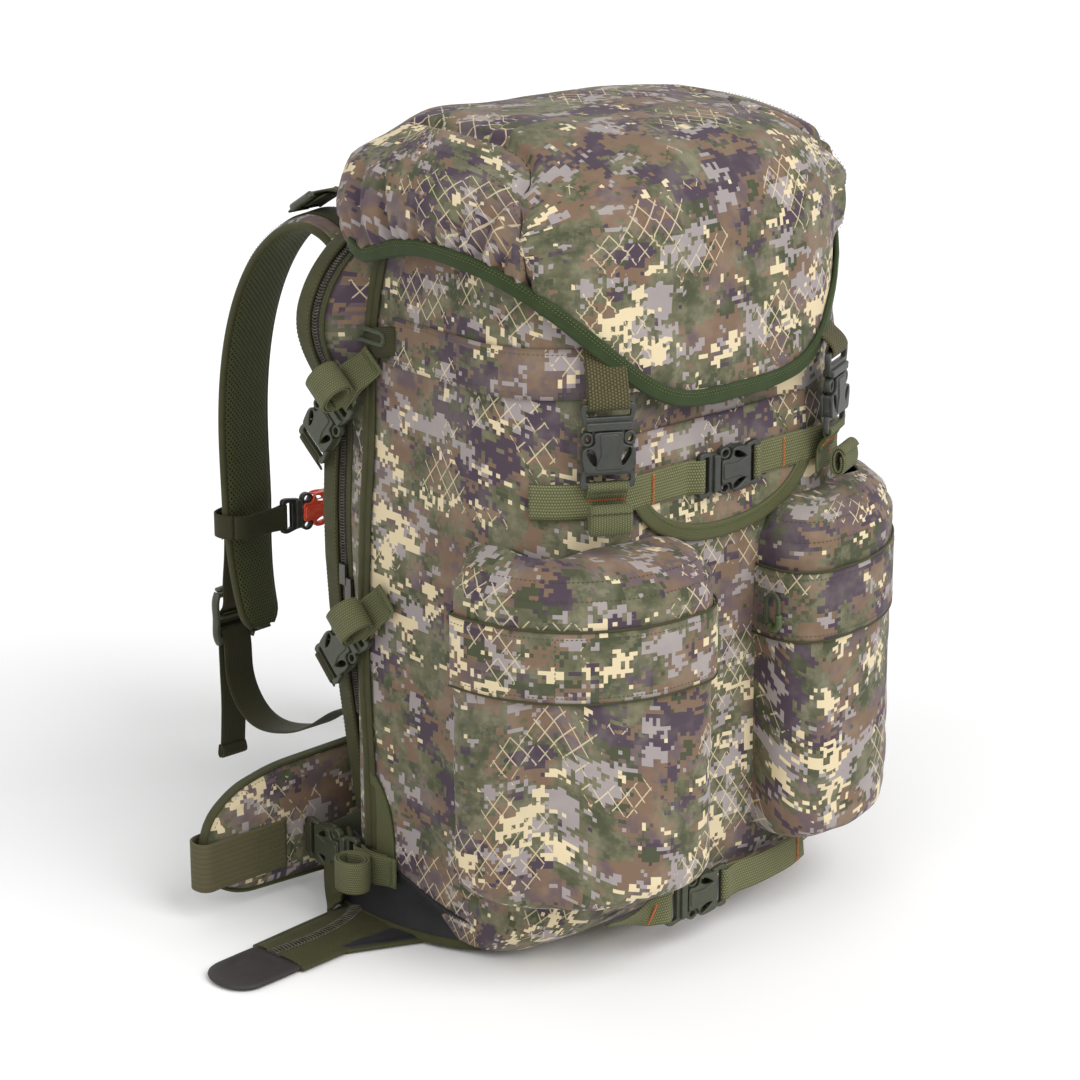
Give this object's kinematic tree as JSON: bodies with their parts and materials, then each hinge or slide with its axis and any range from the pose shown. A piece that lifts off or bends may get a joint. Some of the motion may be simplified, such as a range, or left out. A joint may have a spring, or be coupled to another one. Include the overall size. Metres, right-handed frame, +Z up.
{
  "type": "hunting backpack",
  "caption": "Tall camouflage hunting backpack with domed lid, front pockets, compression straps, padded shoulder straps and hip wings.",
  "frame": {"origin": "on the floor under the middle of the main bag's width, 118 mm ahead of the bag's back wall", "axes": "+Z up, the bag's front faces -Y, the harness and wearer are on +Y, +X is to the right of someone facing the front"},
  "size_m": [0.6798, 0.5073, 0.618],
  "materials": {
    "camo": "brushed pixel camouflage cloth",
    "black_lining": "coated black lining",
    "green_fabric": "dark olive cloth",
    "green_binding": "woven edge tape",
    "mesh": "spacer mesh",
    "webbing": "woven polyester webbing",
    "green_cord": "braided cord",
    "buckle": "grey olive moulded plastic",
    "buckle_dark": "dark green moulded plastic",
    "buckle_black": "black moulded plastic",
    "buckle_orange": "red orange moulded plastic",
    "zip_tape": "zip tape and coil",
    "zip_metal": "blackened zip slider",
    "frame_plastic": "polyethylene sheet",
    "stay_alloy": "bent alloy bar"
  },
  "bodies": {
    "pack": {"bag_shell": "camo", "bag_collar": "black_lining", "collar_cord": "green_cord", "frame_sheet": "frame_plastic", "frame_stays": "stay_alloy", "load_sling": "black_lining", "back_panel": "green_fabric", "back_pads": "mesh", "arch_zipper": "zip_tape", "side_bindings": "green_binding", "lid_hinge_strip": "green_fabric", "front_band": "camo", "front_flap": "camo", "pocket_left": "camo", "pocket_right": "camo", "lid_strap_tails": "webbing", "lid_buckle_females": "buckle", "cross_straps": "webbing", "cross_buckle_female": "buckle", "bottom_straps": "webbing", "bottom_buckle_female": "buckle_dark", "side_straps": "webbing", "side_buckle_females": "buckle_dark", "shoulder_webs": "webbing", "load_lifters": "webbing"},
    "lid": {"lid_shell": "camo", "lid_binding": "green_binding", "lid_straps": "webbing"},
    "lid_plug_left": {"lid_buckle_male_left": "buckle"},
    "lid_plug_right": {"lid_buckle_male_right": "buckle"},
    "cross_plug": {"cross_buckle_male": "buckle"},
    "bottom_plug": {"bottom_buckle_male": "buckle_dark"},
    "pocket_cap_left": {"pocket_lid_left": "camo"},
    "pocket_cap_right": {"pocket_lid_right": "camo"},
    "pocket_cord_left": {"pocket_pull_left": "green_cord"},
    "pocket_cord_right": {"pocket_pull_right": "green_cord"},
    "band_cord": {"band_pull": "green_cord"},
    "slider_left": {"arch_slider_left": "zip_metal"},
    "slider_right": {"arch_slider_right": "zip_metal"},
    "harness": {"shoulder_pad_left": "mesh", "shoulder_pad_right": "mesh", "strap_adjusters": "buckle_black", "sternum_straps": "webbing", "sternum_buckle_female": "buckle_orange"},
    "sternum_plug": {"sternum_buckle_male": "buckle_black"},
    "hip_left": {"hip_wing_left": "camo", "hip_web_left": "webbing", "hip_buckle_female": "buckle_dark"},
    "hip_right": {"hip_wing_right": "camo", "hip_web_right": "webbing", "hip_buckle_male": "buckle_dark"},
    "tongue_l": {"tongue_left": "green_fabric"},
    "tongue_r": {"tongue_right": "green_fabric"},
    "grab_loop": {"haul_loop": "webbing"},
    "side_plug_top_left": {"side_buckle_male_top_left": "buckle_dark"},
    "side_plug_top_right": {"side_buckle_male_top_right": "buckle_dark"},
    "side_plug_middle_left": {"side_buckle_male_middle_left": "buckle_dark"},
    "side_plug_middle_right": {"side_buckle_male_middle_right": "buckle_dark"},
    "side_plug_low_left": {"side_buckle_male_low_left": "buckle_dark"},
    "side_plug_low_right": {"side_buckle_male_low_right": "buckle_dark"}
  },
  "joints": [
    {"name": "lid_hinge", "type": "hinge", "parent": "pack", "child": "lid", "pos_m": [0, 0.137, 0.576], "axis": [-1, 0, 0], "range_deg": [0, 105]},
    {"name": "lid_release_left", "type": "slide", "parent": "lid", "child": "lid_plug_left", "axis": [0, 0, 1], "range_m": [0, 0.018]},
    {"name": "lid_release_right", "type": "slide", "parent": "lid", "child": "lid_plug_right", "axis": [0, 0, 1], "range_m": [0, 0.018]},
    {"name": "cross_release", "type": "slide", "parent": "pack", "child": "cross_plug", "axis": [-1, 0, 0], "range_m": [0, 0.018]},
    {"name": "bottom_release", "type": "slide", "parent": "pack", "child": "bottom_plug", "axis": [-1, 0, 0], "range_m": [0, 0.018]},
    {"name": "pocket_cap_hinge_left", "type": "hinge", "parent": "pack", "child": "pocket_cap_left", "pos_m": [-0.12, -0.114, 0.3345], "axis": [-1, 0, 0], "range_deg": [0, 30]},
    {"name": "pocket_cap_hinge_right", "type": "hinge", "parent": "pack", "child": "pocket_cap_right", "pos_m": [0.12, -0.114, 0.3345], "axis": [-1, 0, 0], "range_deg": [0, 30]},
    {"name": "pocket_cord_swing_left", "type": "hinge", "parent": "pack", "child": "pocket_cord_left", "pos_m": [-0.03, -0.132, 0.2714], "axis": [0, -1, 0], "range_deg": [0, 80]},
    {"name": "pocket_cord_swing_right", "type": "hinge", "parent": "pack", "child": "pocket_cord_right", "pos_m": [0.03, -0.132, 0.2714], "axis": [0, 1, 0], "range_deg": [0, 80]},
    {"name": "band_cord_swing", "type": "hinge", "parent": "pack", "child": "band_cord", "pos_m": [-0.1718, 0.067, 0.462], "axis": [0, 0, 1], "range_deg": [0, 80]},
    {"name": "slider_run_left", "type": "slide", "parent": "pack", "child": "slider_left", "axis": [0, 0, 1], "range_m": [0, 0.085]},
    {"name": "slider_run_right", "type": "slide", "parent": "pack", "child": "slider_right", "axis": [0, 0, 1], "range_m": [0, 0.085]},
    {"name": "side_release_top_left", "type": "slide", "parent": "pack", "child": "side_plug_top_left", "axis": [0, -0.6157, 0.788], "range_m": [0, 0.018]},
    {"name": "side_release_top_right", "type": "slide", "parent": "pack", "child": "side_plug_top_right", "axis": [0, -0.6157, 0.788], "range_m": [0, 0.018]},
    {"name": "side_release_middle_left", "type": "slide", "parent": "pack", "child": "side_plug_middle_left", "axis": [0, -0.6947, 0.7193], "range_m": [0, 0.018]},
    {"name": "side_release_middle_right", "type": "slide", "parent": "pack", "child": "side_plug_middle_right", "axis": [0, -0.6947, 0.7193], "range_m": [0, 0.018]},
    {"name": "side_release_low_left", "type": "slide", "parent": "pack", "child": "side_plug_low_left", "axis": [0, -1, 0], "range_m": [0, 0.018]},
    {"name": "side_release_low_right", "type": "slide", "parent": "pack", "child": "side_plug_low_right", "axis": [0, -1, 0], "range_m": [0, 0.018]},
    {"name": "harness_hinge", "type": "hinge", "parent": "pack", "child": "harness", "pos_m": [0, 0.157, 0.48], "axis": [1, 0, 0], "range_deg": [0, 25], "deforming": ["shoulder_webs", "load_lifters"]},
    {"name": "sternum_release", "type": "slide", "parent": "harness", "child": "sternum_plug", "axis": [-1, 0, 0], "range_m": [0, 0.018]},
    {"name": "grab_loop_hinge", "type": "hinge", "parent": "pack", "child": "grab_loop", "pos_m": [0, 0.145, 0.534], "axis": [1, 0, 0], "range_deg": [0, 95]},
    {"name": "hip_fold_left", "type": "hinge", "parent": "pack", "child": "hip_left", "pos_m": [-0.118, 0.161, 0.06], "axis": [0, 0, -1], "range_deg": [0, 70]},
    {"name": "hip_fold_right", "type": "hinge", "parent": "pack", "child": "hip_right", "pos_m": [0.118, 0.161, 0.06], "axis": [0, 0, 1], "range_deg": [0, 70]},
    {"name": "tongue_fold_left", "type": "hinge", "parent": "pack", "child": "tongue_l", "pos_m": [-0.182, 0.078, 0.005], "axis": [-0.0698, 0.9976, 0], "range_deg": [0, 38]},
    {"name": "tongue_fold_right", "type": "hinge", "parent": "pack", "child": "tongue_r", "pos_m": [0.182, 0.078, 0.005], "axis": [-0.0698, -0.9976, 0], "range_deg": [0, 38]}
  ]
}
